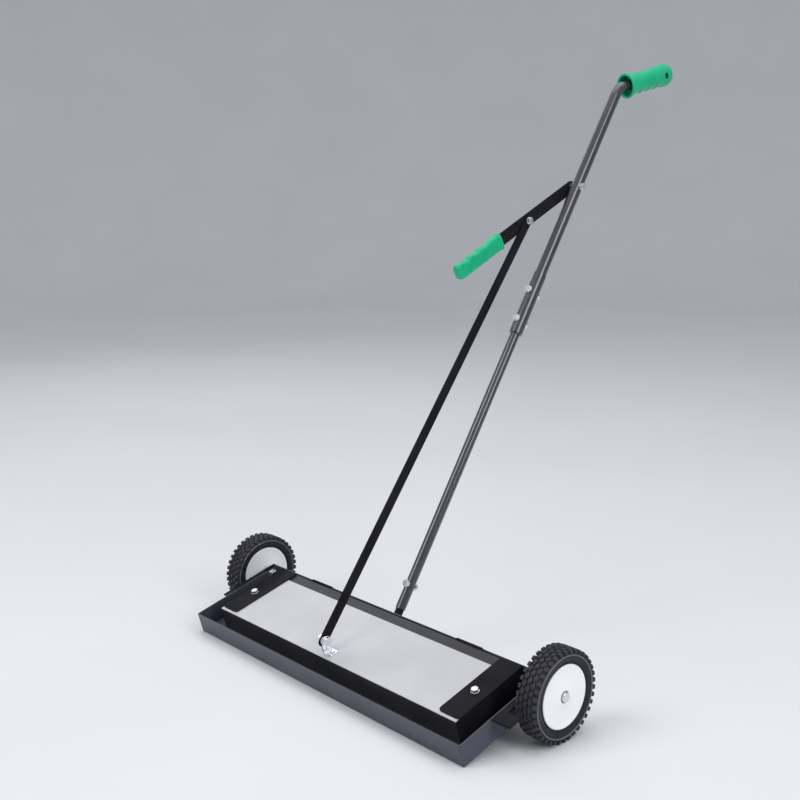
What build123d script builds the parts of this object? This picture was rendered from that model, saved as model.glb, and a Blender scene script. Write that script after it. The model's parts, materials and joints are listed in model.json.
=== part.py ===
from build123d import *
from math import asin, atan2, cos, degrees, hypot, radians, sin
import os

# Magnetic nail sweeper, millimetres, +Z up, +X along the head, -Y forwards.
# The head is drawn in its own level axes and leans forwards about the wheel axle
# until the front edge of the tray stands on the floor.

# ---- driving dimensions -------------------------------------------------

# wheels
wheel_radius = 63.5
tyre_width = 34.2
tyre_shoulder = 3.5
hub_radius = 43.5
hub_recess = 2.0
hub_rim = 3.5
hub_dish = 1.2
wheel_gap = 11.0              # wheel bracket to tyre
hub_boss_radius = 13.0
bushing_radius = 7.0
axle_radius = 5.0
axle_proud = 1.5              # end of the axle outside the hub
axle_cap_radius = 6.8
axle_cap_height = 2.6

# debris tray
tray_length = 610.0
tray_depth = 167.0
tray_height = 33.9
tray_rear = 14.2              # rear face behind the axle line
tray_drop = 23.4              # underside below the axle line
sheet = 1.5
bend_radius = 2.0

# magnet box
box_length = 550.0
box_height = 34.9
front_gap = 28.2              # tray front to box front, outside to outside
rear_gap = 5.7                # box rear to the inner face of the tray rear
box_lift = 0.5                # air under the box
plate_thickness = 1.2
plate_depth = 112.8
cap_thickness = 2.0
cap_width = 39.5
cap_setback = 4.9             # end cap behind the box front
cap_corner = 6.0
cap_bolt_inset = 20.0         # bolt from the outer end of the box
cap_bolt_back = 57.0          # bolt behind the box front
yoke_thickness = 4.0
yoke_margin = 6.0
magnet_length = 96.0
magnet_width = 50.0
magnet_height = 18.0
magnet_gap = 0.5
magnet_columns = 5
magnet_rows = 2
cover_thickness = 1.0

# wheel brackets
bracket_thickness = 2.5
ledge_reach = 32.0            # front wing of the right bracket, out from the tray
ledge_narrow = 10.0           # beside the wheel
ledge_front = 92.7            # front edge ahead of the axle
ledge_wheel_gap = 8.0         # wing to tyre
leg_radius = 15.0

# handle
handle_rake = 41.8            # to the plane of the head
handle_foot = 21.0            # axis crosses the axle height this far behind the axle
lower_tube_radius = 8.0
upper_tube_radius = 10.0
sleeve_radius = 11.3
tube_fit = 0.05
tube_wall = 1.4
socket_length = 78.0
socket_gap = 11.0             # tube end above the socket foot
base_bolt_at = 50.4
sleeve_start = 496.2
sleeve_length = 114.3
sleeve_bolts_at = (24.0, 78.8)
tube_overlap_end = 98.0       # lower tube inside the upper tube
handle_corner = 993.0         # foot to the crossing with the grip axis
handle_bend = 45.0
grip_droop = 2.0              # grip axis below the plane of the head
grip_start = 22.0             # mouth after the crossing
grip_length = 138.0
grip_radius = 19.5            # half height; the grip is narrower across
grip_narrowing = 0.84         # half width over half height
grip_lip_radius = 22.4
grip_lip_length = 5.0
grip_bulb_radius = 21.0
grip_mouth_radius = 17.5
grip_mouth_depth = 20.0
grip_tube_length = 95.0
hang_hole_radius = 5.0
hang_hole_inset = 31.0
finger_count = 4
finger_pitch = 23.0
finger_radius = 13.0
finger_depth = 3.2

# release lever and link rod
lever_at = 785.5              # pivot along the handle from its foot
lever_droop = 10.7            # lever below the plane of the head, at rest
lever_width = 20.0
lever_thickness = 4.0
lever_length = 309.5
lever_spacer = 1.3
rod_pivot_at = 129.0
rod_width = 15.0
rod_thickness = 3.0
rod_low_back = 13.1           # lower pivot behind the box front
rod_low_height = 19.3         # lower pivot above the top plate
slot_clearance = 0.6
slot_play = 2.0
lever_grip_length = 111.0
lever_grip_height = 26.0
lever_grip_thickness = 17.0
lever_grip_cover = 4.0        # closed end beyond the bar
plate_gap = 0.3               # between sliding flats

# rod bracket on the top plate
ear_thickness = 2.5
ear_radius = 7.5
bracket_foot = 17.0
rivet_radius = 2.5
rivet_head = 4.5
rivet_head_height = 1.6

# hinges between tray and box
hinge_offset = 170.0
hinge_width = 50.0
hinge_height = 2.2            # pin below the top of the box
bridge_drop = 2.0             # underside of the tray leaf's bridge below the pin
barrel_radius = 2.9
hinge_pin_radius = 1.5
leaf_thickness = 1.2
leaf_height = 16.0
barrel_middle = 17.4
running_fit = 0.05

# fasteners
m6_radius = 3.0
m6_flats = 10.0
m6_head = 4.0
m6_nut = 5.0
m6_washer = 6.25
m6_washer_thickness = 1.2
m8_radius = 4.0
m8_flats = 13.0
m8_head = 5.3
m8_nut = 6.5
m8_washer = 8.0
m8_washer_thickness = 1.6
axle_flats = 16.0
axle_head = 6.4
axle_washer = 10.0

# ---- frames -------------------------------------------------------------

tray_front = tray_rear - tray_depth
corner_y = -tray_front - bend_radius
corner_z = tray_drop - bend_radius
lean = degrees(
    asin((wheel_radius - bend_radius) / hypot(corner_y, corner_z)) - atan2(corner_z, corner_y)
)
rim_height = tray_height - tray_drop

# crossing of the handle axis and the grip axis, in head axes
rake = radians(handle_rake)
crossing_y = handle_foot + handle_corner * cos(rake)
crossing_z = handle_corner * sin(rake)

# the origin lies on the floor midway between the tray rim and the end of the grip
tilt = radians(lean)
droop_angle = radians(grip_droop)
bulb_at = grip_start + grip_length - grip_bulb_radius
bulb_y = crossing_y + bulb_at * cos(droop_angle)
bulb_z = crossing_z - bulb_at * sin(droop_angle)
reach_front = tray_front * cos(tilt) - rim_height * sin(tilt)
reach_back = bulb_y * cos(tilt) - bulb_z * sin(tilt) + grip_bulb_radius
axle_y = -(reach_front + reach_back) / 2

head = Plane(origin=(0, axle_y, wheel_radius), x_dir=(1, 0, 0), z_dir=(0, -sin(tilt), cos(tilt)))
side = Plane(origin=head.origin, x_dir=head.y_dir, z_dir=(1, 0, 0))
up = Axis(head.origin, head.z_dir)
along = Axis(head.origin, head.x_dir)
back = Axis(head.origin, head.y_dir)


def head_point(y, z):
    return head.origin + head.y_dir * y + head.z_dir * z


handle_dir = head.y_dir * cos(rake) + head.z_dir * sin(rake)
handle = Plane(origin=head_point(handle_foot, 0), x_dir=(1, 0, 0), z_dir=handle_dir)

grip_dir = head.y_dir * cos(droop_angle) - head.z_dir * sin(droop_angle)
grip_side = Plane(origin=head_point(crossing_y, crossing_z), x_dir=grip_dir, z_dir=(1, 0, 0))
grip_mouth = Plane(origin=grip_side.origin + grip_dir * grip_start, x_dir=(1, 0, 0), z_dir=grip_dir)

droop = radians(lever_droop)
lever_dir = head.y_dir * cos(droop) + head.z_dir * sin(droop)
lever_pivot = handle.origin + handle_dir * lever_at
lever_side = Plane(origin=lever_pivot, x_dir=lever_dir, z_dir=(1, 0, 0))

# levels and faces of the box, in head axes
box_front = tray_front + front_gap
box_rear = tray_rear - sheet - rear_gap
box_depth = box_rear - box_front
box_middle = (box_front + box_rear) / 2
box_floor = -tray_drop + sheet + box_lift
box_top = box_floor + box_height
plate_top = box_top + plate_thickness
shell_length = box_length - 2 * cap_thickness

rod_high = lever_pivot - lever_dir * rod_pivot_at
rod_low = head_point(box_front + rod_low_back, plate_top + rod_low_height)
rod_length = (rod_high - rod_low).length
rod_side = Plane(origin=rod_low, x_dir=(rod_high - rod_low).normalized(), z_dir=(1, 0, 0))

# stations across the sweeper
lever_inner = -upper_tube_radius - lever_spacer
lever_outer = lever_inner - lever_thickness
rod_outer = lever_inner + plate_gap
rod_inner = rod_outer + rod_thickness
ear_outer = rod_inner + plate_gap
ear_inner = ear_outer + ear_thickness

# hinge pin, in head axes
hinge_y = box_rear + barrel_radius + running_fit
hinge_z = plate_top - hinge_height


def save(piece, name):
    piece.part.label = name
    export_step(piece.part, f"parts/{name}.step")


def hex_bolt(seat, shank, length, flats, height):
    """A bolt with its head on the outer side of the seat plane."""
    with BuildPart() as bolt:
        with BuildSketch(seat):
            RegularPolygon(flats / 2, 6, major_radius=False)
        extrude(amount=height)
        crown = bolt.edges().filter_by(GeomType.LINE).group_by(Axis(seat.origin, seat.z_dir))[-1]
        chamfer(crown, height * 0.12)
        with BuildSketch(seat):
            Circle(shank)
        extrude(amount=-length)
    return bolt.part


def hex_nut(seat, shank, flats, height):
    """A nut lying on the outer side of the seat plane."""
    with BuildPart() as nut:
        with BuildSketch(seat):
            RegularPolygon(flats / 2, 6, major_radius=False)
            Circle(shank, mode=Mode.SUBTRACT)
        extrude(amount=height)
    return nut.part


def washer(seat, shank, radius, thickness):
    """A flat washer lying on the outer side of the seat plane."""
    with BuildPart() as ring:
        with BuildSketch(seat):
            Circle(radius)
            Circle(shank, mode=Mode.SUBTRACT)
        extrude(amount=thickness)
    return ring.part


def group(name, pieces):
    with BuildPart() as nodes:
        add(pieces)
    save(nodes, name)


os.makedirs("parts", exist_ok=True)

# ---- debris tray --------------------------------------------------------

socket_screw_offset = 22.0
socket_screw_z = rim_height - 14.0
rear_face = Plane(origin=head_point(tray_rear, 0), x_dir=(-1, 0, 0), z_dir=head.y_dir)
socket_screws = ((-socket_screw_offset, socket_screw_z), (socket_screw_offset, socket_screw_z))

with BuildPart() as debris_tray:
    with BuildSketch(head.offset(-tray_drop)):
        with Locations((0, tray_rear - tray_depth / 2)):
            RectangleRounded(tray_length, tray_depth, bend_radius)
    extrude(amount=tray_height)
    fillet(debris_tray.faces().sort_by(up)[0].edges(), bend_radius)
    offset(amount=-sheet, openings=debris_tray.faces().sort_by(up)[-1])
    with BuildSketch(side.offset(-tray_length / 2)):
        Circle(axle_radius)
    extrude(amount=tray_length, mode=Mode.SUBTRACT)
    with BuildSketch(rear_face):
        with Locations(*socket_screws):
            Circle(m6_radius)
    extrude(amount=-2 * sheet, mode=Mode.SUBTRACT)
save(debris_tray, "debris_tray")

# ---- wheels, brackets and axles -----------------------------------------

leg_outer = tray_length / 2 + bracket_thickness
tyre_inner = leg_outer + wheel_gap
tyre_outer = tyre_inner + tyre_width
hub_inner = tyre_inner + hub_recess
hub_outer = tyre_outer - hub_recess
axle_end = hub_outer + axle_proud
axle_seat = tray_length / 2 - sheet - m8_washer_thickness

for name, turn in (("left", -1), ("right", 1)):
    wheel = Plane(origin=head.origin, x_dir=head.y_dir, z_dir=(turn, 0, 0))

    # bracket: a ledge level with the rim, wider in front on the right, and a leg on the tray's end wall around the axle
    with BuildPart() as wheel_bracket:
        wing_back = -(wheel_radius + ledge_wheel_gap)
        start = tray_length / 2 * turn
        front_edge = [(start + ledge_narrow * turn, -ledge_front)]
        if name == "right":
            front_edge = [
                (start + ledge_reach, -ledge_front),
                (start + ledge_reach, wing_back),
                (start + ledge_narrow, wing_back),
            ]
        with BuildSketch(head.offset(rim_height)):
            with BuildLine():
                Polyline(
                    (start, -ledge_front),
                    *front_edge,
                    (start + ledge_narrow * turn, tray_rear),
                    (start, tray_rear),
                    close=True,
                )
            make_face()
        extrude(amount=-bracket_thickness)
        with BuildSketch(wheel.offset(tray_length / 2)):
            with BuildLine():
                lines = Polyline(
                    (-ledge_front, rim_height * turn),
                    (tray_rear, rim_height * turn),
                    (leg_radius, 0),
                    (0, -leg_radius * turn),
                    (-leg_radius * 2, -leg_radius / 2 * turn),
                    close=True,
                )
            make_face()
            Circle(leg_radius)
            Circle(axle_radius, mode=Mode.SUBTRACT)
        extrude(amount=bracket_thickness)
    save(wheel_bracket, f"wheel_bracket_{name}")

    # stub axle: hex head inside the tray, shank out through the wheel, push-on cap on its end
    inside = Plane(origin=wheel.origin + wheel.z_dir * axle_seat, x_dir=wheel.x_dir, z_dir=-wheel.z_dir)
    group(f"axle_{name}", [hex_bolt(inside, axle_radius, axle_end - axle_seat, axle_flats, axle_head)])
    spacer = washer(wheel.offset(axle_seat), axle_radius, axle_washer, m8_washer_thickness)
    group(f"axle_washer_{name}", [spacer])
    with BuildPart() as axle_cap:
        with BuildSketch(wheel.offset(hub_outer + plate_gap)):
            Circle(axle_cap_radius)
        extrude(amount=axle_cap_height)
        dome = axle_cap.edges().sort_by(Axis(wheel.origin, wheel.z_dir))[-1]
        fillet(dome, axle_cap_height * 0.4)
        with BuildSketch(wheel.offset(hub_outer + plate_gap)):
            Circle(axle_radius)
        extrude(amount=axle_proud - plate_gap, mode=Mode.SUBTRACT)
    save(axle_cap, f"axle_cap_{name}")

    # bushing between the axle and the hub, from the bracket to the cap
    with BuildPart() as bushing:
        with BuildSketch(wheel.offset(leg_outer + plate_gap)):
            Circle(bushing_radius)
            Circle(axle_radius + running_fit, mode=Mode.SUBTRACT)
        extrude(amount=hub_outer - leg_outer - plate_gap)
    save(bushing, f"hub_bushing_{name}")

    # hub: a shallow dished disc with a rim band and a central boss
    with BuildPart() as hub:
        with BuildSketch(wheel.offset(hub_inner)):
            Circle(hub_radius)
        extrude(amount=hub_outer - hub_inner)
        for face_at, deep in ((hub_outer, -1), (hub_inner, 1)):
            with BuildSketch(wheel.offset(face_at)):
                Circle(hub_radius - hub_rim)
                Circle(hub_boss_radius, mode=Mode.SUBTRACT)
            extrude(amount=deep * hub_dish, taper=45, mode=Mode.SUBTRACT)
        with BuildSketch(wheel.offset(hub_inner)):
            Circle(bushing_radius)
        extrude(amount=hub_outer - hub_inner, mode=Mode.SUBTRACT)
    save(hub, f"hub_{name}")

    # tyre: a ring with rounded shoulders
    with BuildPart() as tyre:
        with BuildSketch(wheel.offset(tyre_inner)):
            Circle(wheel_radius)
            Circle(hub_radius, mode=Mode.SUBTRACT)
        extrude(amount=tyre_width)
        rims = tyre.edges().filter_by(GeomType.CIRCLE).sort_by(SortBy.RADIUS)[-2:]
        fillet(rims, tyre_shoulder)
    save(tyre, f"tyre_{name}")

# ---- magnet box ---------------------------------------------------------

cap_bolt_x = box_length / 2 - cap_bolt_inset
cap_bolt_y = box_front + cap_bolt_back
rivet_x = ear_outer + bracket_foot - rivet_head - 1

with BuildPart() as box_shell:
    with BuildSketch(side.offset(-shell_length / 2)):
        with Locations((box_middle, box_floor + box_height / 2)):
            Rectangle(box_depth, box_height)
        with Locations((box_middle, box_floor + (box_height - sheet) / 2)):
            Rectangle(box_depth - 2 * sheet, box_height - sheet, mode=Mode.SUBTRACT)
    extrude(amount=shell_length)
    with BuildSketch(head.offset(box_top)):
        with Locations((-cap_bolt_x, cap_bolt_y), (cap_bolt_x, cap_bolt_y)):
            Circle(m6_radius)
        with Locations((rivet_x, box_front + rod_low_back)):
            Circle(rivet_radius)
    extrude(amount=-2 * sheet, mode=Mode.SUBTRACT)
save(box_shell, "box_shell")

with BuildPart() as top_plate:
    with BuildSketch(head.offset(box_top)):
        with Locations((0, box_front + plate_depth / 2)):
            Rectangle(shell_length, plate_depth)
        with Locations((-cap_bolt_x, cap_bolt_y), (cap_bolt_x, cap_bolt_y)):
            Circle(m6_radius, mode=Mode.SUBTRACT)
        with Locations((rivet_x, box_front + rod_low_back)):
            Circle(rivet_radius, mode=Mode.SUBTRACT)
    extrude(amount=plate_thickness)
save(top_plate, "top_plate")

for name, turn in (("left", -1), ("right", 1)):
    with BuildPart() as end_cap:
        with BuildSketch(head.offset(plate_top)):
            with Locations((turn * (box_length - cap_width) / 2, (box_front + cap_setback + box_rear) / 2)):
                RectangleRounded(cap_width, box_depth - cap_setback, cap_corner)
            with Locations((turn * (box_length - cap_width) / 2, box_rear - cap_corner)):
                Rectangle(cap_width, 2 * cap_corner)
            with Locations((turn * cap_bolt_x, cap_bolt_y)):
                Circle(m6_radius, mode=Mode.SUBTRACT)
        extrude(amount=cap_thickness)
        with BuildSketch(side.offset(turn * shell_length / 2)):
            with Locations((box_middle, (box_floor + plate_top) / 2)):
                Rectangle(box_depth, plate_top - box_floor)
        extrude(amount=turn * cap_thickness)
    save(end_cap, f"end_cap_{name}")

cap_seats = [
    Plane(origin=head_point(cap_bolt_y, plate_top + cap_thickness) + head.x_dir * turn * cap_bolt_x,
          x_dir=head.x_dir, z_dir=head.z_dir)
    for turn in (-1, 1)
]
nut_drop = plate_top + cap_thickness - box_top + sheet + yoke_thickness
cap_stack = m6_washer_thickness + nut_drop + m6_nut
group("end_cap_washers", [washer(seat, m6_radius, m6_washer, m6_washer_thickness) for seat in cap_seats])
group("end_cap_bolts", [
    hex_bolt(seat.offset(m6_washer_thickness), m6_radius, cap_stack, m6_flats, m6_head) for seat in cap_seats
])
group("end_cap_nuts", [hex_nut(seat.offset(-nut_drop - m6_nut), m6_radius, m6_flats, m6_nut) for seat in cap_seats])

yoke_level = box_top - sheet
with BuildPart() as yoke_plate:
    with BuildSketch(head.offset(yoke_level)):
        with Locations((0, box_middle)):
            Rectangle(shell_length - 2 * yoke_margin, box_depth - 2 * sheet - 2 * yoke_margin)
        with Locations((-cap_bolt_x, cap_bolt_y), (cap_bolt_x, cap_bolt_y)):
            Circle(m6_radius, mode=Mode.SUBTRACT)
        with Locations((rivet_x, box_front + rod_low_back)):
            Circle(rivet_head + 1, mode=Mode.SUBTRACT)
    extrude(amount=-yoke_thickness)
save(yoke_plate, "yoke_plate")

with BuildPart() as magnets:
    with BuildSketch(head.offset(yoke_level - yoke_thickness)):
        with Locations((0, box_middle)):
            with GridLocations(magnet_length + magnet_gap, magnet_width + magnet_gap, magnet_columns, magnet_rows):
                Rectangle(magnet_length, magnet_width)
    extrude(amount=-magnet_height)
save(magnets, "magnet_blocks")

with BuildPart() as bottom_cover:
    with BuildSketch(head.offset(box_floor)):
        with Locations((0, box_middle)):
            Rectangle(shell_length, box_depth - 2 * sheet)
    extrude(amount=cover_thickness)
save(bottom_cover, "bottom_cover")

# ---- rod bracket on the top plate ---------------------------------------

with BuildPart() as rod_bracket:
    with BuildSketch(side.offset(ear_outer)):
        with Locations((box_front + rod_low_back, plate_top + rod_low_height / 2)):
            Rectangle(2 * ear_radius, rod_low_height)
        with Locations((box_front + rod_low_back, plate_top + rod_low_height)):
            Circle(ear_radius)
            Circle(m8_radius, mode=Mode.SUBTRACT)
    extrude(amount=ear_thickness)
    with BuildSketch(head.offset(plate_top)):
        with Locations((ear_outer + bracket_foot / 2, box_front + rod_low_back)):
            Rectangle(bracket_foot, 2 * ear_radius)
        with Locations((rivet_x, box_front + rod_low_back)):
            Circle(rivet_radius, mode=Mode.SUBTRACT)
    extrude(amount=ear_thickness)
save(rod_bracket, "rod_bracket")

foot_seat = Plane(
    origin=head_point(box_front + rod_low_back, plate_top + ear_thickness) + head.x_dir * rivet_x,
    x_dir=head.x_dir, z_dir=head.z_dir,
)
rivet_grip = ear_thickness + plate_thickness + sheet
with BuildPart() as bracket_rivet:
    with BuildSketch(foot_seat.offset(-rivet_grip)):
        Circle(rivet_radius)
    extrude(amount=rivet_grip)
    for level, way in ((0, 1), (-rivet_grip, -1)):
        with BuildSketch(foot_seat.offset(level)):
            Circle(rivet_head)
        extrude(amount=way * rivet_head_height, taper=25)
save(bracket_rivet, "bracket_rivet")

low_pin = Plane(origin=rod_low + head.x_dir * ear_inner, x_dir=head.y_dir, z_dir=head.x_dir)
low_span = m8_washer_thickness + ear_thickness + rod_thickness + 2 * plate_gap
group("rod_pivot_washer", [washer(low_pin, m8_radius, m8_washer, m8_washer_thickness)])
group("rod_pivot_bolt", [
    hex_bolt(low_pin.offset(m8_washer_thickness), m8_radius, low_span + m8_nut, m8_flats, m8_head)
])
group("rod_pivot_nut", [
    hex_nut(low_pin.offset(m8_washer_thickness - low_span - m8_nut), m8_radius, m8_flats, m8_nut)
])

# ---- link rod -----------------------------------------------------------

with BuildPart() as link_rod:
    with BuildSketch(rod_side.offset(rod_outer)):
        with Locations(((rod_length - slot_play) / 2, 0)):
            SlotOverall(rod_length + slot_play + rod_width, rod_width)
        SlotCenterToCenter(2 * slot_play, 2 * (m8_radius + slot_clearance), mode=Mode.SUBTRACT)
        with Locations((rod_length, 0)):
            Circle(m6_radius + running_fit, mode=Mode.SUBTRACT)
    extrude(amount=rod_thickness)
save(link_rod, "link_rod")

# ---- release lever ------------------------------------------------------

with BuildPart() as release_lever:
    with BuildSketch(lever_side.offset(lever_outer)):
        with Locations((-(lever_length - lever_width / 2) / 2, 0)):
            SlotOverall(lever_length + lever_width / 2, lever_width)
        Circle(m6_radius + running_fit, mode=Mode.SUBTRACT)
        with Locations((-rod_pivot_at, 0)):
            Circle(m6_radius, mode=Mode.SUBTRACT)
    extrude(amount=lever_thickness)
save(release_lever, "release_lever")

grip_far = -(lever_length + lever_grip_cover)
grip_near = grip_far + lever_grip_length
grip_half = lever_grip_height / 2
wave_depth = 2.6
wave = lever_grip_length / 3
rail_height = 5.5
rail_depth = 1.0
with BuildPart() as lever_grip:
    middle = (lever_inner + lever_outer) / 2
    with BuildSketch(lever_side.offset(middle)):
        with BuildLine():
            Line((grip_near, grip_half), (grip_near, -grip_half))
            Line((grip_near, -grip_half), (grip_far, -grip_half))
            Line((grip_far, -grip_half), (grip_far, grip_half - wave_depth))
            for n in range(3):
                ThreePointArc(
                    (grip_far + n * wave, grip_half - wave_depth),
                    (grip_far + (n + 0.5) * wave, grip_half + wave_depth),
                    (grip_far + (n + 1) * wave, grip_half - wave_depth if n < 2 else grip_half),
                )
        make_face()
    extrude(amount=lever_grip_thickness / 2, both=True)
    outline = lever_grip.faces().filter_by(Axis.X).edges()
    fillet(outline, 3.0)
    with BuildSketch(lever_side.offset(lever_outer)):
        with Locations((-(lever_length - lever_width / 2) / 2, 0)):
            SlotOverall(lever_length + lever_width / 2, lever_width)
    extrude(amount=lever_thickness, mode=Mode.SUBTRACT)
save(lever_grip, "lever_grip")

pivot_seat = Plane(origin=lever_pivot + head.x_dir * upper_tube_radius, x_dir=lever_dir, z_dir=head.x_dir)
pivot_span = m6_washer_thickness + upper_tube_radius - lever_outer + plate_gap
group("lever_pivot_bolt", [
    hex_bolt(pivot_seat.offset(m6_washer_thickness), m6_radius, pivot_span + m6_nut, m6_flats, m6_head)
])
group("lever_pivot_washer", [washer(pivot_seat, m6_radius, m6_washer, m6_washer_thickness)])
group("lever_pivot_nut", [
    hex_nut(pivot_seat.offset(m6_washer_thickness - pivot_span - m6_nut), m6_radius, m6_flats, m6_nut)
])
group("lever_spacer", [
    washer(pivot_seat.offset(lever_inner + plate_gap - upper_tube_radius), m6_radius, m6_washer,
           lever_spacer - plate_gap)
])

high_seat = Plane(origin=rod_high + head.x_dir * (rod_inner + plate_gap), x_dir=lever_dir, z_dir=head.x_dir)
high_span = m6_washer_thickness + rod_inner + plate_gap - lever_outer
group("rod_upper_bolt", [
    hex_bolt(high_seat.offset(m6_washer_thickness), m6_radius, high_span + m6_nut, m6_flats, m6_head)
])
group("rod_upper_washer", [washer(high_seat, m6_radius, m6_washer, m6_washer_thickness)])
group("rod_upper_nut", [
    hex_nut(high_seat.offset(m6_washer_thickness - high_span - m6_nut), m6_radius, m6_flats, m6_nut)
])

# ---- handle -------------------------------------------------------------

socket_plate = 3.0
socket_plate_width = 60.0
socket_plate_height = 28.0
stub_radius = lower_tube_radius - tube_wall - tube_fit
front_dir = -handle.y_dir


def across_handle(distance, radius):
    """A seat on the front of the handle, square to it, at a distance from its foot."""
    return Plane(
        origin=handle.origin + handle_dir * distance + front_dir * radius,
        x_dir=(1, 0, 0), z_dir=front_dir,
    )


with BuildPart() as handle_socket:
    with BuildSketch(rear_face):
        with Locations((0, rim_height - socket_plate_height / 2 - 2 * bend_radius)):
            RectangleRounded(socket_plate_width, socket_plate_height, 4.0)
    extrude(amount=socket_plate)
    with BuildSketch(handle.offset(-3 * stub_radius)):
        Circle(stub_radius)
    extrude(amount=socket_length + 3 * stub_radius)
    with BuildSketch(rear_face):
        Rectangle(4 * stub_radius, 8 * stub_radius)
    extrude(amount=-4 * stub_radius, mode=Mode.SUBTRACT)
    with BuildSketch(rear_face):
        with Locations(*socket_screws):
            Circle(m6_radius)
    extrude(amount=socket_plate, mode=Mode.SUBTRACT)
    with BuildSketch(across_handle(base_bolt_at, 2 * lower_tube_radius)):
        Circle(m6_radius)
    extrude(amount=-4 * lower_tube_radius, mode=Mode.SUBTRACT)
save(handle_socket, "handle_socket")

screw_seats = [
    Plane(origin=head_point(tray_rear + socket_plate, socket_screw_z) + head.x_dir * x,
          x_dir=head.x_dir, z_dir=head.y_dir)
    for x in (-socket_screw_offset, socket_screw_offset)
]
screw_grip = socket_plate + sheet
screw_nut = 2.5
group("socket_screws", [hex_bolt(seat, m6_radius, screw_grip + screw_nut, m6_flats, m6_head) for seat in screw_seats])
group("socket_nuts", [
    hex_nut(seat.offset(-screw_grip - screw_nut), m6_radius, m6_flats, screw_nut) for seat in screw_seats
])

overlap_end = sleeve_start + tube_overlap_end
with BuildPart() as lower_tube:
    with BuildSketch(handle.offset(socket_gap)):
        Circle(lower_tube_radius)
        Circle(lower_tube_radius - tube_wall, mode=Mode.SUBTRACT)
    extrude(amount=overlap_end - socket_gap)
    for spot in (base_bolt_at, *(sleeve_start + at for at in sleeve_bolts_at)):
        with BuildSketch(across_handle(spot, 2 * lower_tube_radius)):
            Circle(m6_radius)
        extrude(amount=-4 * lower_tube_radius, mode=Mode.SUBTRACT)
save(lower_tube, "lower_tube")

upper_bore = lower_tube_radius + tube_fit
tube_reach = grip_start + grip_tube_length
with BuildPart() as upper_tube:
    with BuildLine(side) as handle_line:
        FilletPolyline(
            (handle_foot + sleeve_start * cos(rake), sleeve_start * sin(rake)),
            (crossing_y, crossing_z),
            (crossing_y + tube_reach * cos(droop_angle), crossing_z - tube_reach * sin(droop_angle)),
            radius=handle_bend,
        )
    with BuildSketch(handle.offset(sleeve_start)):
        Circle(upper_tube_radius)
        Circle(upper_bore, mode=Mode.SUBTRACT)
    sweep(path=handle_line.line)
    for at in sleeve_bolts_at:
        with BuildSketch(across_handle(sleeve_start + at, 2 * upper_tube_radius)):
            Circle(m6_radius)
        extrude(amount=-4 * upper_tube_radius, mode=Mode.SUBTRACT)
    with BuildSketch(lever_side.offset(-2 * upper_tube_radius)):
        Circle(m6_radius)
    extrude(amount=4 * upper_tube_radius, mode=Mode.SUBTRACT)
save(upper_tube, "upper_tube")

with BuildPart() as coupling_sleeve:
    with BuildSketch(handle.offset(sleeve_start)):
        Circle(sleeve_radius)
        Circle(upper_tube_radius, mode=Mode.SUBTRACT)
    extrude(amount=sleeve_length)
    for at in sleeve_bolts_at:
        with BuildSketch(across_handle(sleeve_start + at, 2 * sleeve_radius)):
            Circle(m6_radius)
        extrude(amount=-4 * sleeve_radius, mode=Mode.SUBTRACT)
save(coupling_sleeve, "coupling_sleeve")

bolt_spots = [(base_bolt_at, lower_tube_radius)]
bolt_spots += [(sleeve_start + at, sleeve_radius) for at in sleeve_bolts_at]
handle_bolts, handle_washers, handle_nuts = [], [], []
for spot, radius in bolt_spots:
    front = across_handle(spot, radius)
    rear = front.offset(-2 * radius - m6_nut)
    handle_washers.append(washer(front, m6_radius, m6_washer, m6_washer_thickness))
    bolt_length = m6_washer_thickness + 2 * radius + m6_nut
    handle_bolts.append(hex_bolt(front.offset(m6_washer_thickness), m6_radius, bolt_length, m6_flats, m6_head))
    handle_nuts.append(hex_nut(rear, m6_radius, m6_flats, m6_nut))
group("handle_washers", handle_washers)
group("handle_bolts", handle_bolts)
group("handle_nuts", handle_nuts)

# ---- top grip -----------------------------------------------------------

grip_end = grip_start + grip_length
waist = grip_start + 0.45 * grip_length
neck = grip_start + 2.4 * grip_lip_length
with BuildPart() as handle_grip:
    with BuildSketch(grip_side):
        with BuildLine():
            Polyline(
                (grip_start, 0),
                (grip_start, grip_lip_radius),
                (grip_start + grip_lip_length, grip_lip_radius),
                (neck, grip_radius),
                (waist, grip_radius),
            )
            Spline(
                (waist, grip_radius),
                (grip_end - grip_bulb_radius, grip_bulb_radius),
                tangents=((1, 0), (1, 0)),
            )
            RadiusArc((grip_end - grip_bulb_radius, grip_bulb_radius), (grip_end, 0), grip_bulb_radius)
            Line((grip_end, 0), (grip_start, 0))
        make_face()
    revolve(axis=Axis(grip_side.origin, grip_dir))
    with BuildSketch(grip_mouth):
        Circle(grip_mouth_radius)
    extrude(amount=grip_mouth_depth, mode=Mode.SUBTRACT)
    scale(by=(grip_narrowing, 1, 1))
    for n in range(finger_count):
        with BuildSketch(grip_side):
            with Locations((neck + finger_radius + n * finger_pitch, finger_depth - grip_radius - finger_radius)):
                Circle(finger_radius)
        extrude(amount=grip_lip_radius, both=True, mode=Mode.SUBTRACT)
    with BuildSketch(grip_mouth):
        Circle(upper_tube_radius)
    extrude(amount=grip_tube_length, mode=Mode.SUBTRACT)
    with BuildSketch(grip_side):
        with Locations((grip_end - hang_hole_inset, 0)):
            Circle(hang_hole_radius)
    extrude(amount=2 * grip_bulb_radius, both=True, mode=Mode.SUBTRACT)
save(handle_grip, "handle_grip")

# ---- hinges -------------------------------------------------------------

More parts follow.
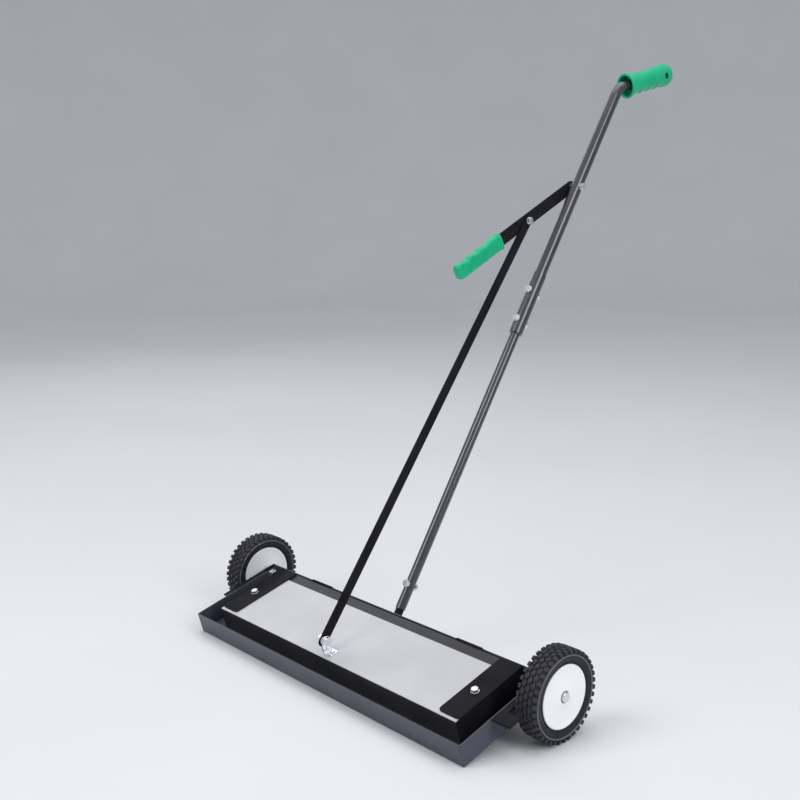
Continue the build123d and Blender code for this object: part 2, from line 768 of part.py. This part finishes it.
tray_inner = tray_rear - sheet
bridge_top = hinge_z - bridge_drop + leaf_thickness
leaf_foot = min(rim_height, hinge_z) - leaf_height
tray_leaves, box_leaves, pins = [], [], []
barrel_outer = (hinge_width - barrel_middle) / 2 - plate_gap
for middle in (-hinge_offset, hinge_offset):
    start = middle - hinge_width / 2
    with BuildPart() as tray_leaf:
        with BuildSketch(side.offset(start)):
            with Locations((tray_inner - leaf_thickness / 2, (bridge_top + leaf_foot) / 2)):
                Rectangle(leaf_thickness, bridge_top - leaf_foot)
            with Locations(((tray_inner + hinge_y) / 2, bridge_top - leaf_thickness / 2)):
                Rectangle(tray_inner - hinge_y, leaf_thickness)
            with Locations((hinge_y, hinge_z)):
                Circle(barrel_radius)
                Circle(hinge_pin_radius, mode=Mode.SUBTRACT)
        extrude(amount=hinge_width)
        with BuildSketch(side.offset(middle - barrel_middle / 2 - plate_gap)):
            with Locations((hinge_y, hinge_z)):
                Rectangle(3 * barrel_radius, 4 * barrel_radius)
        extrude(amount=barrel_middle + 2 * plate_gap, mode=Mode.SUBTRACT)
    tray_leaves.append(tray_leaf.part)
    with BuildPart() as box_leaf:
        with BuildSketch(side.offset(middle - barrel_middle / 2)):
            with Locations((box_rear + leaf_thickness / 2, hinge_z - leaf_height / 2)):
                Rectangle(leaf_thickness, leaf_height)
            with Locations((hinge_y, hinge_z)):
                Circle(barrel_radius)
                Circle(hinge_pin_radius + running_fit, mode=Mode.SUBTRACT)
        extrude(amount=barrel_middle)
    box_leaves.append(box_leaf.part)
    with BuildPart() as pin:
        with BuildSketch(Plane(origin=head_point(hinge_y, hinge_z), x_dir=head.y_dir, z_dir=head.x_dir).offset(start)):
            Circle(hinge_pin_radius)
        extrude(amount=hinge_width)
    pins.append(pin.part)
group("hinge_leaves_tray", tray_leaves)
group("hinge_leaves_box", box_leaves)
group("hinge_pins", pins)
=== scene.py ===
import json
import math

import bmesh
import bpy
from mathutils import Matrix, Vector


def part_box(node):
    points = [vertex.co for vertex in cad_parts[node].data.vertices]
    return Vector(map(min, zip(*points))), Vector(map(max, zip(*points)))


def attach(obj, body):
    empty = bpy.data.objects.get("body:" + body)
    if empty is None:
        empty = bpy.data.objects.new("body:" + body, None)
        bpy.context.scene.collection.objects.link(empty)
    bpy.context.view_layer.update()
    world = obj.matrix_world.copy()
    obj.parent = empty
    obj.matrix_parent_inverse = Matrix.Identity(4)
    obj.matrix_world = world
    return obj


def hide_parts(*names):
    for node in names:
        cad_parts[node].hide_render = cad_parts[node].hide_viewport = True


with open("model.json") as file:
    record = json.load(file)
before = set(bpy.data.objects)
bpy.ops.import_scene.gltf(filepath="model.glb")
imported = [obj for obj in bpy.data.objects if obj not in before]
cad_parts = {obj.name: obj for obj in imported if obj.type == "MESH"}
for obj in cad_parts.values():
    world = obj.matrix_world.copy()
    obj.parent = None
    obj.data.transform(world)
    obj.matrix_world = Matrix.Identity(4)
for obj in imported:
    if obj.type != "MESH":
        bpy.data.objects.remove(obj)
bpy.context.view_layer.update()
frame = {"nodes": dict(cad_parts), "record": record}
record = frame["record"]
MM = 0.001
SIDES = (("left", -1), ("right", 1))

# ---- frames -------------------------------------------------------------

mounts = {m["name"]: m for m in record["mounts"]}
joint_at = {j["name"]: Vector(j["pos_m"]) for j in record["behaviour"]["joints"]}

# The head leans forwards about the wheel axle. Its normal is opposite to the underside's.
under = mounts["tray_underside"]["axis"]
LEAN_SIN, LEAN_COS = under[1], -under[2]
AXLE = joint_at["wheel_right_spin"]


class Axes:
    """A plane across the sweeper: u and v are directions in it, and w is +X."""

    def __init__(self, origin, u):
        self.origin = Vector(origin)
        self.u = Vector(u).normalized()
        self.w = Vector((1, 0, 0))
        self.v = self.w.cross(self.u)

    def at(self, u, v, w=0.0):
        """The point at u, v, w millimetres."""
        return self.origin + (self.u * u + self.v * v + self.w * w) * MM

    def box(self, node):
        """Lowest and highest u, v, w of a CAD node, in millimetres."""
        spots = [v.co - self.origin for v in frame["nodes"][node].data.vertices]
        rows = [[p.dot(d) / MM for p in spots] for d in (self.u, self.v, self.w)]
        return [min(r) for r in rows], [max(r) for r in rows]


head = Axes(AXLE, (0, LEAN_COS, LEAN_SIN))
lever = Axes(joint_at["lever_hinge"], joint_at["lever_hinge"] - joint_at["rod_hinge"])
# the top grip points a little below the plane of the head; its hanging hole is on its axis
DROOP = math.radians(2.0)
hang = Vector(mounts["hang_hole"]["pos_m"])
hand = Axes(hang, head.u * math.cos(DROOP) - head.v * math.sin(DROOP))

# ---- camera -------------------------------------------------------------

CAMERA_OFFSET = Vector((1.18742, -1.0375, 0.69592))  # from the floor below the axle's middle
CAMERA_AZIMUTH, CAMERA_ELEVATION = math.radians(46.24), math.radians(8.04)

camera_data = bpy.data.cameras.new("camera")
camera_data.lens = 48.18
camera_data.sensor_width = 36.0
camera_data.shift_x = -0.0429
camera_data.shift_y = -0.0513
camera = bpy.data.objects.new("camera", camera_data)
camera.location = Vector((0, AXLE.y, 0)) + CAMERA_OFFSET
back = Vector((
    math.sin(CAMERA_AZIMUTH) * math.cos(CAMERA_ELEVATION),
    -math.cos(CAMERA_AZIMUTH) * math.cos(CAMERA_ELEVATION),
    math.sin(CAMERA_ELEVATION),
))
camera.rotation_euler = (-back).to_track_quat("-Z", "Y").to_euler()
bpy.context.scene.collection.objects.link(camera)
bpy.context.scene.camera = camera
bpy.context.scene.view_settings.view_transform = "Standard"

# ---- materials ----------------------------------------------------------

COAT_ROUGHNESS = 0.12
PATCH_RANGE = (0.3, 0.72)  # noise levels between which the colour goes from dark to light
GRAIN_RANGE = (0.3, 0.7)  # noise levels between which the roughness goes from low to high
ROUGH_RANGE = (0.8, 1.25)  # shares of the given roughness
# ridges in this range take a lighter colour: a painted highlight
RIDGE_RANGE = (0.52, 0.60)  # pointiness between which an edge takes its own colour
RELIEF = 0.0004  # height of the bump, in metres
# a Mix node's colour sockets share their names with its number sockets, so they go by place
MIX_A, MIX_B, MIX_RESULT = 6, 7, 2


def material(name, color, rough, metal=0.0, coat=0.0, spread=0.25, grain=900.0, bump=0.05,
             stretch=(1, 1, 1), round_edges=0.0, patch=14.0, ridge_highlight=None, specular=0.5):
    """A procedural finish.

    Broad patches vary the colour by the share spread. Fine grain varies the roughness and the
    surface. round_edges is a radius in metres. A colour given for the sharp ridges is painted on
    them as a highlight.
    """
    m = bpy.data.materials.new(name)
    m.use_nodes = True
    tree = m.node_tree
    tree.nodes.clear()
    link = tree.links.new

    def node(kind, settings=(), **values):
        """A new node, with its settings as attributes and its input sockets set by name."""
        n = tree.nodes.new(kind)
        for key, value in dict(settings).items():
            setattr(n, key, value)
        for key, value in values.items():
            n.inputs[key.replace("_", " ")].default_value = value
        return n

    out = node("ShaderNodeOutputMaterial")
    surface = node("ShaderNodeBsdfPrincipled", Metallic=metal, Specular_IOR_Level=specular,
                   Coat_Weight=coat, Coat_Roughness=COAT_ROUGHNESS)
    link(surface.outputs[0], out.inputs[0])
    where = node("ShaderNodeTexCoord")
    scaled = node("ShaderNodeMapping", Scale=stretch)
    link(where.outputs["Object"], scaled.inputs["Vector"])
    broad = node("ShaderNodeTexNoise", Scale=patch, Detail=4.0)
    fine = node("ShaderNodeTexNoise", Scale=grain, Detail=3.0)
    link(where.outputs["Object"], broad.inputs["Vector"])
    link(scaled.outputs["Vector"], fine.inputs["Vector"])

    shades = node("ShaderNodeValToRGB")
    dark, light = shades.color_ramp.elements
    dark.position, light.position = PATCH_RANGE
    dark.color = (*[c * (1 - spread) for c in color], 1)
    light.color = (*[min(1.0, c * (1 + spread)) for c in color], 1)
    link(broad.outputs["Fac"], shades.inputs["Fac"])
    tint = shades.outputs["Color"]
    # painted highlight: the sharp ridges take a lighter colour
    if ridge_highlight:
        highlight_geometry = node("ShaderNodeNewGeometry")
        ridge = node("ShaderNodeValToRGB")
        start, end = ridge.color_ramp.elements
        start.position, end.position = RIDGE_RANGE
        link(highlight_geometry.outputs["Pointiness"], ridge.inputs["Fac"])
        mix = node("ShaderNodeMix", {"data_type": "RGBA"})
        link(ridge.outputs["Color"], mix.inputs["Factor"])
        link(tint, mix.inputs[MIX_A])
        mix.inputs[MIX_B].default_value = (*ridge_highlight, 1)
        tint = mix.outputs[MIX_RESULT]
    link(tint, surface.inputs["Base Color"])

    grainy = node("ShaderNodeMapRange", From_Min=GRAIN_RANGE[0], From_Max=GRAIN_RANGE[1],
                  To_Min=rough * ROUGH_RANGE[0], To_Max=rough * ROUGH_RANGE[1])
    link(fine.outputs["Fac"], grainy.inputs["Value"])
    link(grainy.outputs["Result"], surface.inputs["Roughness"])

    relief = node("ShaderNodeBump", Strength=bump, Distance=RELIEF)
    link(fine.outputs["Fac"], relief.inputs["Height"])
    if round_edges:
        soft = node("ShaderNodeBevel", {"samples": 6}, Radius=round_edges)
        link(soft.outputs["Normal"], relief.inputs["Normal"])
    link(relief.outputs["Normal"], surface.inputs["Normal"])
    return m


EDGE = 0.0006  # radius of a folded edge, in metres
LOOKS = {
    "tray_paint": dict(color=(0.066, 0.071, 0.094), rough=0.36, coat=0.22, spread=0.12,
                       grain=1400, bump=0.10, round_edges=EDGE, specular=0.2),
    "black_paint": dict(color=(0.016, 0.0155, 0.019), rough=0.30, coat=0.07, spread=0.22,
                        grain=1100, bump=0.08, round_edges=EDGE, specular=0.0),
    "plate_metal": dict(color=(0.55, 0.545, 0.565), rough=0.42, metal=0.35, spread=0.05,
                        grain=260, bump=0.05, stretch=(0.35, 9, 9), round_edges=EDGE / 2),
    "zinc": dict(color=(0.78, 0.79, 0.81), rough=0.22, metal=1.0, spread=0.10, grain=700,
                 bump=0.08, round_edges=EDGE / 2, patch=120),
    "yoke_steel": dict(color=(0.30, 0.30, 0.32), rough=0.45, metal=1.0, grain=500, bump=0.1),
    "magnet": dict(color=(0.045, 0.045, 0.05), rough=0.6, grain=800, bump=0.2),
    "grip_green": dict(color=(0.001, 0.43, 0.20), rough=0.34, coat=0.10, spread=0.10,
                       grain=1500, bump=0.12, patch=40, specular=0.3),
    "hub_white": dict(color=(0.955, 0.955, 0.96), rough=0.30, coat=0.25, spread=0.02,
                      grain=900, bump=0.04, patch=30),
    "bushing": dict(color=(0.50, 0.50, 0.51), rough=0.42, spread=0.06, grain=900, bump=0.05),
    # the sharp ridges of the tread take a lighter painted highlight
    "tyre_rubber": dict(color=(0.015, 0.015, 0.021), rough=0.52, spread=0.30, grain=1300,
                        bump=0.35, patch=60, ridge_highlight=(0.034, 0.034, 0.042), specular=0.28),
    # the round tubes are glossier than the folded sheet
    "black_gloss": dict(color=(0.030, 0.030, 0.036), rough=0.24, coat=0.7, spread=0.20,
                        grain=1100, bump=0.05, round_edges=EDGE, specular=0.6),
    # the folded box is a little greyer than its end caps
    "black_satin": dict(color=(0.040, 0.040, 0.044), rough=0.34, coat=0.10, spread=0.18,
                        grain=1100, bump=0.08, round_edges=EDGE, specular=0.1),
    # painted shade on the wall of the top grip's hanging hole
    "grip_hole_painted_shade": dict(color=(0.001, 0.075, 0.04), rough=0.6, spread=0.15, grain=1500,
                       bump=0.1, specular=0.1),
    # the raised bead ring on each tyre beside its hub: glossier rubber, with a painted highlight
    # as its lighter colour
    "painted_bead_highlight": dict(color=(0.11, 0.11, 0.135), rough=0.34, coat=0.2, spread=0.18,
                      grain=1200, bump=0.15, patch=60, specular=0.5),
    "floor": dict(color=(0.72, 0.725, 0.74), rough=0.75, spread=0.02, grain=300, bump=0.03,
                  patch=1.5, specular=0.2),
}
# nodes that look different from the rest of their slot
OWN_LOOK = {
    "lower_tube": "black_gloss",
    "upper_tube": "black_gloss",
    "coupling_sleeve": "black_gloss",
    "box_shell": "black_satin",
}
finish = {name: material(name, **look) for name, look in LOOKS.items()}
slot_of = {s["node"]: s["material_slot"] for s in record["subparts"]}
for name, piece in frame["nodes"].items():
    piece.data.materials.clear()
    piece.data.materials.append(finish[OWN_LOOK.get(name, slot_of[name])])

# ---- mesh helpers -------------------------------------------------------


def mesh_from(name, bm, sharp_angle=40.0):
    """A smooth mesh from bm, with sharp edges where its faces meet at more than sharp_angle."""
    bmesh.ops.recalc_face_normals(bm, faces=bm.faces)
    limit = math.radians(sharp_angle)
    for e in bm.edges:
        e.smooth = not (len(e.link_faces) == 2 and e.calc_face_angle(0.0) > limit)
    for f in bm.faces:
        f.smooth = True
    mesh = bpy.data.meshes.new(name)
    bm.to_mesh(mesh)
    bm.free()
    return mesh


def new_piece(name, bm, slot, body, replaced, sharp_angle=40.0):
    """A visible piece that stands in for the CAD nodes in replaced."""
    mesh = mesh_from(name, bm, sharp_angle)
    piece = bpy.data.objects.new(name, mesh)
    bpy.context.scene.collection.objects.link(piece)
    mesh.materials.append(finish[slot])
    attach(piece, body)
    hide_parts(*replaced)
    return piece


def skin(bm, rings, closed=False, cap_end=True):
    """Faces between rings of vertices.

    When closed, the last ring is joined to the first. If not, the first ring is capped, and the
    last one too with cap_end.
    """
    rows = [[bm.verts.new(p) for p in ring] for ring in rings]
    pairs = list(zip(rows, rows[1:])) + ([(rows[-1], rows[0])] if closed else [])
    for a, b in pairs:
        for i in range(len(a)):
            j = (i + 1) % len(a)
            bm.faces.new((a[i], a[j], b[j], b[i]))
    if not closed:
        bm.faces.new(rows[0])
        if cap_end:
            bm.faces.new(rows[-1])


def circle(count):
    """The cosine and sine of count equal steps round a circle."""
    angles = [2 * math.pi * n / count for n in range(count)]
    return [(math.cos(angle), math.sin(angle)) for angle in angles]


def quarter(count):
    """The cosine and sine of count equal steps from 0 degrees to just under 90."""
    angles = [math.radians(90 * n / count) for n in range(count)]
    return [(math.cos(angle), math.sin(angle)) for angle in angles]


def stations(start, end, step):
    """Places from start, a step apart, below end."""
    places = []
    while start < end:
        places.append(start)
        start += step
    return places


def smoothstep(t):
    t = max(0.0, min(1.0, t))
    return t * t * (3 - 2 * t)


def interpolate(table, x, ease=smoothstep):
    """Reads a list of (x, y), eased between its points."""
    if x <= table[0][0]:
        return table[0][1]
    for (x0, y0), (x1, y1) in zip(table, table[1:]):
        if x <= x1:
            return y0 + (y1 - y0) * ease((x - x0) / (x1 - x0))
    return table[-1][1]


# ---- wheels -------------------------------------------------------------

tyre_low, tyre_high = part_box("tyre_right")
hub_low, hub_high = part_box("hub_right")
TRACK = (tyre_low.x + tyre_high.x) / 2 / MM  # from the middle of the sweeper to a wheel's middle
HALF = (tyre_high.x - tyre_low.x) / 2 / MM
TYRE_R = (tyre_high.z - tyre_low.z) / 2 / MM
HUB_R = (hub_high.z - hub_low.z) / 2 / MM
HUB_HALF = (hub_high.x - hub_low.x) / 2 / MM
TYRE_SEGMENTS, HUB_SEGMENTS = 160, 128
BLOCKS = 38
BLOCK_HEIGHT = 2.4
BLOCK_HALF_LONG, BLOCK_HALF_WIDE = 4.9, 3.5
BLOCK_ROWS = (-7.4, 0.0, 7.4)  # across the tread; the middle row is half a pitch on
LUG_HALF_LONG = 2.9
BASE_R = TYRE_R - BLOCK_HEIGHT

# outer half of the carcass from the hub seat to the crown, as (x from the middle, radius)
SIDEWALL = [
    (HALF - 3.2, HUB_R), (HALF - 4.4, HUB_R + 1.0), (HALF - 4.2, HUB_R + 2.0),
    (HALF - 2.6, HUB_R + 3.6), (HALF - 1.7, HUB_R + 7.0), (HALF - 1.3, HUB_R + 10.0),
    (HALF - 1.2, HUB_R + 10.9), (HALF - 0.2, HUB_R + 11.5), (HALF, HUB_R + 12.1),
    (HALF - 0.2, HUB_R + 12.7), (HALF - 1.2, HUB_R + 13.3), (HALF - 1.6, HUB_R + 14.6),
    (HALF - 3.4, BASE_R - 1.2), (HALF - 5.6, BASE_R - 0.3), (HALF - 9.0, BASE_R),
]
# the raised ring on the sidewall, as radii and a depth from the side face; its faces take the
# painted highlight
BEAD_INNER, BEAD_OUTER, BEAD_DEPTH = HUB_R + 10.95, HUB_R + 13.2, 1.25
CROWN = sorted((x, r) for x, r in SIDEWALL if r > HUB_R + 13.0)

# outer half of the hub disc from its rim to the axle hole, as (x from the middle, radius)
HUB_FACE = [
    (HUB_HALF - 1.4, HUB_R - 0.05), (HUB_HALF - 0.3, HUB_R - 0.5), (HUB_HALF, HUB_R - 1.5),
    (HUB_HALF - 0.1, HUB_R - 2.8), (HUB_HALF - 0.7, HUB_R - 4.2), (HUB_HALF - 1.3, HUB_R - 7.0),
    (HUB_HALF - 1.6, HUB_R - 14.0), (HUB_HALF - 1.5, 22.0), (HUB_HALF - 1.1, 16.5),
    (HUB_HALF - 0.5, 14.2), (HUB_HALF - 0.1, 13.0), (HUB_HALF, 11.6), (HUB_HALF, 8.6),
    (HUB_HALF - 0.5, 8.05),
]
# a rhombus with its corners cut off, as shares of a block's half length and half width
LOZENGE = [
    (1, 0.22), (0.30, 1), (-0.30, 1), (-1, 0.22), (-1, -0.22), (-0.30, -1), (0.30, -1), (1, -0.22),
]
# layers of a block from its foot, as (share of the outline, height above the carcass)
BLOCK_LAYERS = ((1.0, -0.6), (0.92, BLOCK_HEIGHT * 0.75), (0.74, BLOCK_HEIGHT))
# outline of a shoulder lug, as (in from the tyre's side face, down from the tread)
LUG = [(6.6, 3.4), (5.6, 0.5), (2.2, 0.35), (0.6, 1.3), (0.05, 3.2), (0.35, 5.6), (2.4, 6.2)]
LUG_MIDDLE = (3.0, 3.6)
# layers of a lug along the tread, as (share of its half length, how far it is drawn in)
LUG_LAYERS = ((-1.0, 0.7), (-0.72, 0.0), (0.72, 0.0), (1.0, 0.7))
LUG_DRAW = 0.22


def on_wheel(side_x, x, r, angle):
    """The point at x from the middle of the wheel at side_x, and at r and angle about the axle."""
    return AXLE + Vector((side_x + x, r * math.cos(angle), r * math.sin(angle))) * MM


def lathe(half_profile, segments, side_x):
    """Turns a half profile of (x, radius) and its mirror image about the wheel axle."""
    profile = half_profile + [(-x, r) for x, r in reversed(half_profile)]
    angles = [2 * math.pi * n / segments for n in range(segments)]
    bm = bmesh.new()
    skin(bm, [[on_wheel(side_x, x, r, a) for x, r in profile] for a in angles], closed=True)
    return bm


def crown_radius(x):
    """Radius of the carcass under the tread, at x from the middle."""
    return interpolate(CROWN, abs(x), ease=lambda t: t)


def tread_block(bm, side_x, angle, x):
    rows = []
    for grow, lift in BLOCK_LAYERS:
        row = []
        for a, b in LOZENGE:
            spot = x + b * BLOCK_HALF_WIDE * grow
            row.append(on_wheel(side_x, spot, min(crown_radius(spot) + lift, TYRE_R),
                                angle + a * BLOCK_HALF_LONG * grow / TYRE_R))
        rows.append(row)
    skin(bm, rows)


def shoulder_lug(bm, side_x, angle, way):
    rows = []
    for share, inset in LUG_LAYERS:
        row = []
        for a, b in LUG:
            inwards = a + (LUG_MIDDLE[0] - a) * inset * LUG_DRAW
            down = b + (LUG_MIDDLE[1] - b) * inset * LUG_DRAW
            row.append(on_wheel(side_x, way * (HALF - inwards), TYRE_R - down,
                                angle + share * LUG_HALF_LONG / TYRE_R))
        rows.append(row)
    skin(bm, rows)


for side, way in SIDES:
    centre = TRACK * way
    pitch = 2 * math.pi / BLOCKS
    bm = lathe(SIDEWALL, TYRE_SEGMENTS, centre)
    for row, x in enumerate(BLOCK_ROWS):
        for n in range(BLOCKS):
            tread_block(bm, centre, (n + 0.5 * (row % 2)) * pitch, x)
    # lugs that wrap the shoulders between the outer blocks
    for shoulder in (-1, 1):
        for n in range(BLOCKS):
            shoulder_lug(bm, centre, (n + 0.5) * pitch, shoulder)
    tyre = new_piece(f"tyre_tread_{side}", bm, "tyre_rubber", f"wheel_{side}", [f"tyre_{side}"],
                     sharp_angle=32.0)
    # painted highlight: the faces of the bead ring take a lighter colour
    tyre.data.materials.append(finish["painted_bead_highlight"])
    for face in tyre.data.polygons:
        out = face.center - AXLE
        on_ring = BEAD_INNER < math.hypot(out.y, out.z) / MM < BEAD_OUTER
        if on_ring and abs(out.x / MM - centre) > HALF - BEAD_DEPTH:
            face.material_index = 1

    bm = lathe(HUB_FACE, HUB_SEGMENTS, centre)
    new_piece(f"hub_disc_{side}", bm, "hub_white", f"wheel_{side}", [f"hub_{side}"])

# ---- top grip -----------------------------------------------------------

grip_low, grip_high = hand.box("handle_grip")
GRIP_START, GRIP_LENGTH = grip_low[0], grip_high[0] - grip_low[0]
NARROW = 0.84  # width of the collar as a share of its height
FINGERS, FINGER_FIRST, FINGER_PITCH, FINGER_DEPTH = 4, 13.5, 23.0, 3.4
FINGER_POWER = 0.8
GRIP_SHARP = 60.0  # degrees
RING = 96
GRIP_STEP = 1.15
CAP, CAP_STEPS, CAP_POWER = 20.0, 18, 0.85  # the rounded end

# height above the axis, half width and depth below the axis, as (station, millimetres)
GRIP_TOP = [(0, 20.0), (23, 19.3), (50, 18.2), (74, 19.0), (100, 20.7), (117, 21.0), (138, 20.9)]
GRIP_SIDE = [(0, 17.0), (52, 15.8), (104, 16.9), (138, 17.3)]
GRIP_BASE = [(0, 19.7), (38, 19.4), (95, 19.8), (138, 20.6)]
# from the bore round the collar to the grip, as (station, radius, share of it across)
COLLAR = [
    (19.5, 10.15, 1.0), (19.5, 16.0, NARROW), (18.0, 17.0, NARROW), (2.0, 17.5, NARROW),
    (0.4, 18.2, NARROW), (0.0, 19.2, NARROW), (0.0, 21.2, NARROW), (0.5, 22.1, NARROW),
    (1.6, 22.4, NARROW), (4.0, 22.4, NARROW), (5.0, 22.0, NARROW), (6.4, 20.9, NARROW),
]


def grip_ring(station, scale=1.0):
    """A section of the grip, with grooves for the fingers below."""
    groove = 0.0
    along = station - FINGER_FIRST
    if FINGER_FIRST < station < FINGER_FIRST + FINGERS * FINGER_PITCH:
        groove = FINGER_DEPTH * abs(math.sin(math.pi * along / FINGER_PITCH)) ** FINGER_POWER
    tables = (GRIP_TOP, GRIP_SIDE, GRIP_BASE)
    top, wide, base = (interpolate(table, station) * scale for table in tables)
    ring = []
    for c, s in circle(RING):
        v = c * top if c > 0 else c * (base - groove * smoothstep(-c * 1.25))
        ring.append(hand.at(GRIP_START + station, v, s * wide))
    return ring


def round_ring(station, radius, across):
    return [hand.at(GRIP_START + station, radius * c, radius * across * s) for c, s in circle(RING)]


rings = [round_ring(*row) for row in COLLAR]
rings += [grip_ring(t) for t in (8.5, 10, 12)]
rings += [grip_ring(t) for t in stations(13.5, GRIP_LENGTH - CAP, GRIP_STEP)]
for c, s in quarter(CAP_STEPS):
    rings.append(grip_ring(GRIP_LENGTH - CAP + CAP * s, scale=c ** CAP_POWER))
bm = bmesh.new()
skin(bm, rings)
grip = new_piece("top_grip", bm, "grip_green", "chassis", ["handle_grip"], GRIP_SHARP)

HOLE_R, HOLE_STRETCH, HOLE_SIDES = 4.8, 0.7, 48  # the hole is a little taller than it is long
PUNCH_REACH = 30.0
# faces of the hole's wall within this radius take the painted shade
SHADE_R = 6.5  # the wall of the hole is nearer to its middle than this
ACROSS = 0.3  # largest x of the normal of a face in that wall


def cut(piece, tool):
    """Takes the tool away from the piece, then deletes the tool."""
    change = piece.modifiers.new("cut", "BOOLEAN")
    change.operation = "DIFFERENCE"
    change.solver = "EXACT"
    change.object = tool
    bpy.context.view_layer.update()
    ready = piece.evaluated_get(bpy.context.evaluated_depsgraph_get())
    shaped = bpy.data.meshes.new_from_object(ready)
    piece.modifiers.clear()
    old, piece.data = piece.data, shaped
    bpy.data.meshes.remove(old)
    bpy.data.objects.remove(tool)


bm = bmesh.new()
skin(bm, [
    [hand.at(HOLE_R * c, HOLE_R * s + (HOLE_STRETCH if s > 0 else -HOLE_STRETCH), w)
     for c, s in circle(HOLE_SIDES)]
    for w in (-PUNCH_REACH, PUNCH_REACH)
])
punch = bpy.data.objects.new("punch", mesh_from("punch", bm))
bpy.context.scene.collection.objects.link(punch)
cut(grip, punch)
# painted shade: the wall of the hanging hole takes a darker green
grip.data.materials.append(finish["grip_hole_painted_shade"])
for face in grip.data.polygons:
    out = face.center - hang
    out.x = 0
    near = out.length / MM < SHADE_R
    if near and abs(face.normal.x) < ACROSS and face.normal.dot(out) < 0:
        face.material_index = 1

# ---- lever grip ---------------------------------------------------------

hand_low, hand_high = lever.box("lever_grip")
NEAR, FAR = -hand_high[0], -hand_low[0]
HAND_LENGTH = FAR - NEAR
MIDDLE_X = (hand_low[2] + hand_high[2]) / 2
BOTTOM = -13.0
HALF_WIDE = 8.3
SQUARE = 0.55  # 1 gives an ellipse, and 0 a rectangle
HAND_STEP = 1.3
END, END_STEPS, END_SHRINK = 7.0, 12, 0.55  # the rounded end

# height of the finger waves, as (station, millimetres)
HAND_TOP = [
    (0, 13.4), (8, 13.5), (24, 13.3), (38, 11.4), (50, 13.2), (62, 10.6), (74, 13.2), (86, 10.4),
    (98, 12.9), (111, 12.2),
]
# the two grooves along each side, as (depth, height of the middle, half width)
GROOVES = ((1.5, -1.8, 1.15), (0.8, -5.6, 0.9))
GROOVE_SIDE = 0.3  # smallest share of the width that counts as the side
FADE_IN = (6, 5)  # where the grooves begin, and the length over which they deepen
FADE_OUT = (10, 6)  # the same from the other end
# the lip at the near end, as (station, scale, growth)
LIP = [
    (0.0, 0.55, 0.0), (0.0, 0.86, 0.0), (0.3, 0.96, 0.0), (1.2, 1.0, 0.5),
    (2.6, 1.0, 1.0), (5.2, 1.0, 1.0), (6.4, 1.0, 0.5), (7.2, 1.0, 0.0),
]


def hand_ring(t, scale=1.0, grow=0.0):
    """A rounded section with two shallow grooves along each side."""
    top = interpolate(HAND_TOP, t)
    middle = (top + BOTTOM) / 2
    tall = ((top - BOTTOM) / 2 + grow) * scale
    wide = (HALF_WIDE + grow) * scale
    fade = smoothstep((t - FADE_IN[0]) / FADE_IN[1])
    fade *= smoothstep((HAND_LENGTH - FADE_OUT[0] - t) / FADE_OUT[1])
    ring = []
    for c, s in circle(RING):
        v = tall * math.copysign(abs(s) ** SQUARE, s)
        w = wide * math.copysign(abs(c) ** SQUARE, c)
        if abs(c) > GROOVE_SIDE:
            for depth, height, reach in GROOVES:
                dip = fade * depth * math.exp(-((middle + v - height) / reach) ** 2)
                w -= math.copysign(dip, w)
        ring.append(lever.at(-(NEAR + t), middle + v, MIDDLE_X + w))
    return ring


rings = [hand_ring(*row) for row in LIP]
rings += [hand_ring(t) for t in stations(8.5, HAND_LENGTH - END, HAND_STEP)]
for c, s in quarter(END_STEPS):
    rings.append(hand_ring(HAND_LENGTH - END + END * s, scale=1 - END_SHRINK * (1 - c)))
bm = bmesh.new()
skin(bm, rings)
new_piece("lever_hand_grip", bm, "grip_green", "release_lever", ["lever_grip"], GRIP_SHARP)

# ---- floor and lights ---------------------------------------------------

# a round floor that curves up into a wall: radius of the flat, radius of the wall, its height
FLAT, REACH, WALL = 6.0, 9.0, 4.0
FLAT_RINGS = 4
FLOOR_SIDES = 96
BEND_STEP = 6  # degrees

bend = [math.radians(a) for a in range(BEND_STEP, 91, BEND_STEP)]
profile = [(FLAT * n / FLAT_RINGS, 0.0) for n in range(1, FLAT_RINGS + 1)]
profile += [
    (FLAT + (REACH - FLAT) * math.sin(a), (REACH - FLAT) * (1 - math.cos(a))) for a in bend
]
profile.append((REACH, REACH - FLAT + WALL))
bm = bmesh.new()
skin(bm, [[Vector((r * c, r * s, z)) for c, s in circle(FLOOR_SIDES)] for r, z in profile],
     cap_end=False)
floor = bpy.data.objects.new("floor", mesh_from("floor", bm))
floor.data.materials.append(finish["floor"])
bpy.context.scene.collection.objects.link(floor)

TARGET = (0, AXLE.y + 0.1, 0.35)
COOL = (0.95, 0.96, 1.0)


def area_light(name, place, wide, tall, power, color=(1, 1, 1)):
    """A light of wide by tall metres that faces the target."""
    data = bpy.data.lights.new(name, "AREA")
    data.shape = "RECTANGLE"
    data.size = wide
    data.size_y = tall
    data.energy = power
    data.color = color
    light = bpy.data.objects.new(name, data)
    light.location = place
    aim = Vector(TARGET) - Vector(place)
    light.rotation_euler = aim.to_track_quat("-Z", "Y").to_euler()
    bpy.context.scene.collection.objects.link(light)


area_light("key", (-0.6, -2.4, 2.3), 1.6, 1.6, 36)
area_light("right", (2.5, -0.3, 1.9), 1.0, 2.0, 33, COOL)
area_light("left", (-2.6, 0.7, 2.2), 1.2, 2.2, 10, COOL)
area_light("top", (0.0, 0.3, 3.0), 2.2, 2.2, 18)

world = bpy.data.worlds.new("world")
bpy.context.scene.world = world
world.use_nodes = True
background = world.node_tree.nodes["Background"]
background.inputs["Color"].default_value = (0.72, 0.74, 0.78, 1)
background.inputs["Strength"].default_value = 0.85
